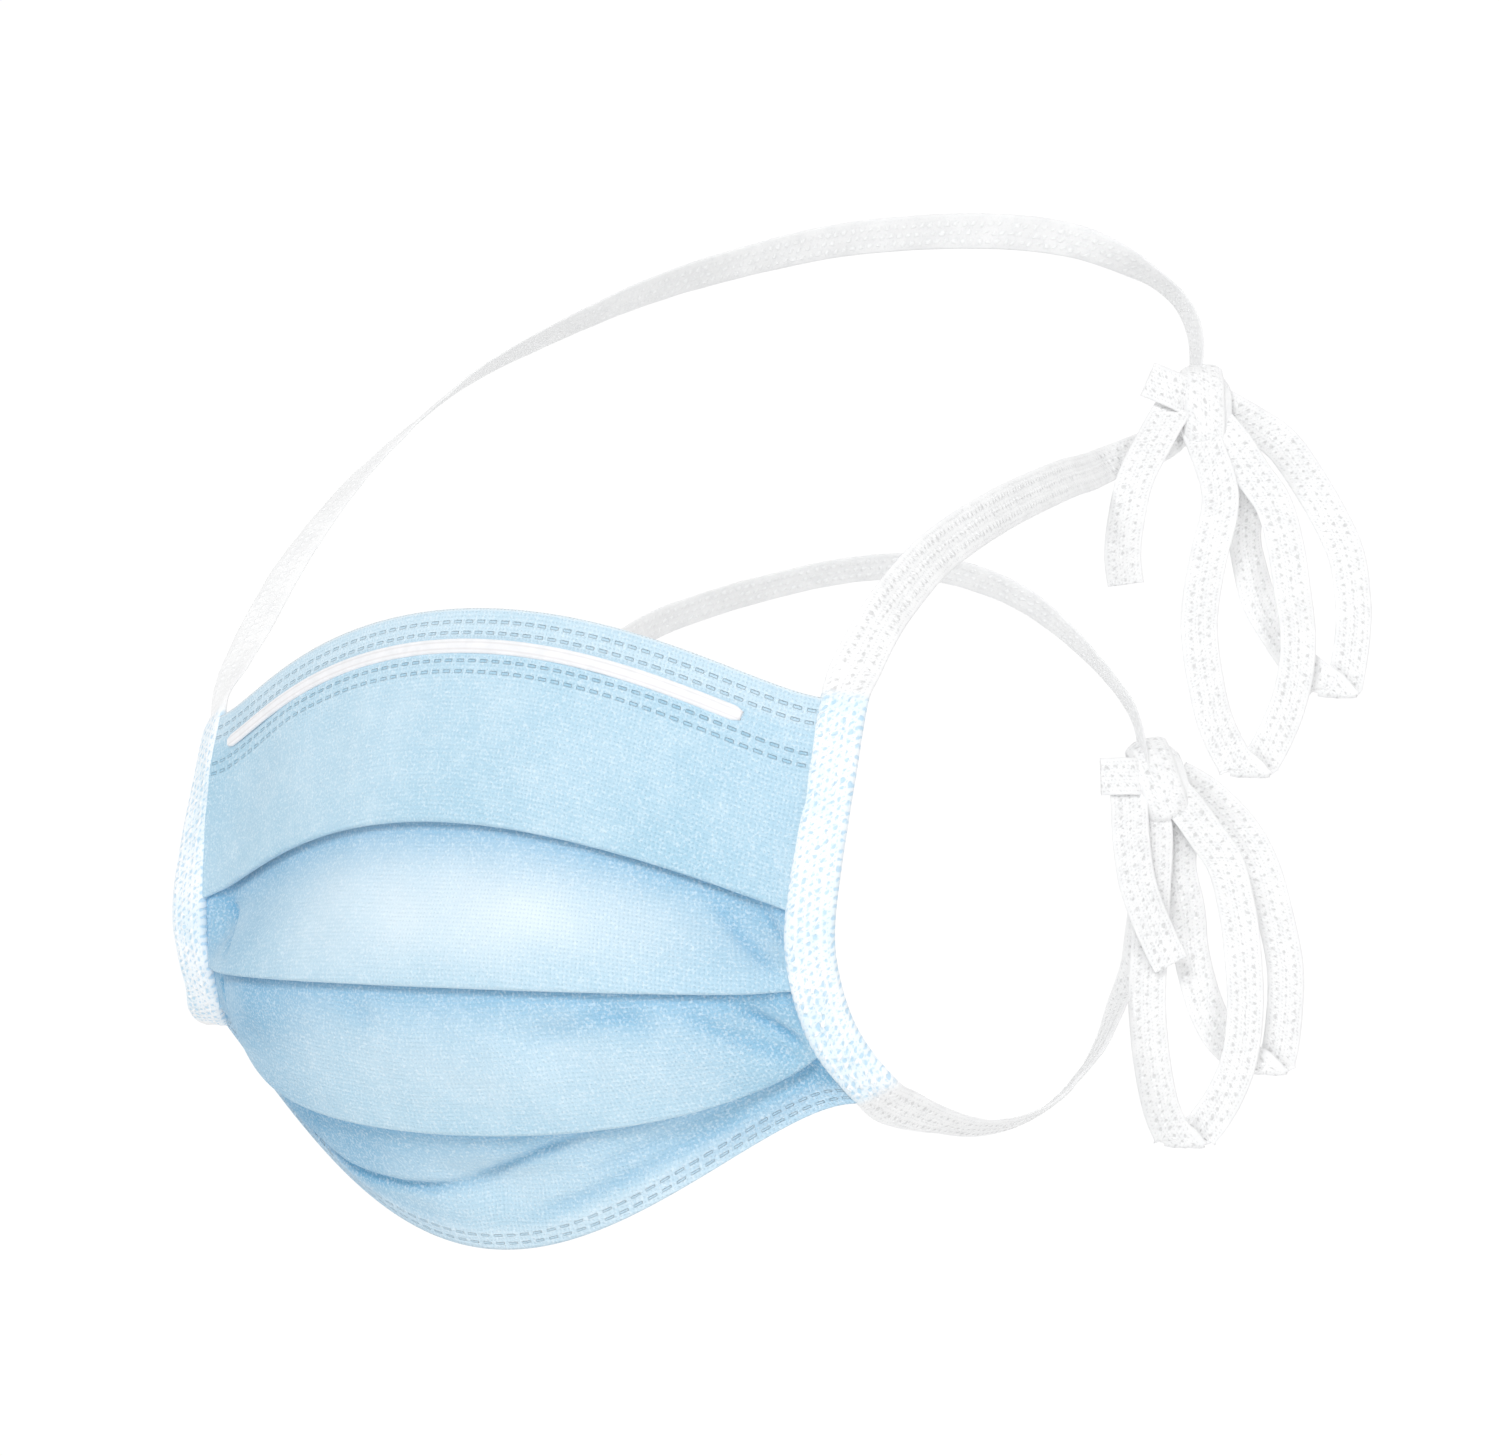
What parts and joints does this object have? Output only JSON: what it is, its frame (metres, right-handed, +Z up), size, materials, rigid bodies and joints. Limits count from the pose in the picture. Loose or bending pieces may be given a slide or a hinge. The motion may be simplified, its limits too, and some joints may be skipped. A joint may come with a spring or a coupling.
{
  "type": "surgical face mask",
  "caption": "Pleated surgical face mask in the shape it has when worn, with a bendable nose strip, taped side edges and long ties knotted into bows behind the head.",
  "frame": {"origin": "middle of the mask's top edge, where it sits on the nose bridge", "axes": "-Y the way the wearer faces, +X the wearer's left, +Z up"},
  "size_m": [0.1966, 0.2774, 0.2609],
  "materials": {
    "cloth": "pale blue non-woven cloth, matte",
    "tape": "white embossed non-woven tape, matte",
    "nose_strip": "white coated strip, satin"
  },
  "bodies": {
    "root": {"mask_body": "cloth", "nose_wire": "nose_strip", "left_tape": "tape", "right_tape": "tape", "upper_knot": "tape", "lower_knot": "tape", "upper_loop_front": "tape", "upper_loop_back": "tape", "lower_loop_front": "tape", "lower_loop_back": "tape", "upper_tail": "tape", "lower_tail": "tape"}
  },
  "joints": []
}
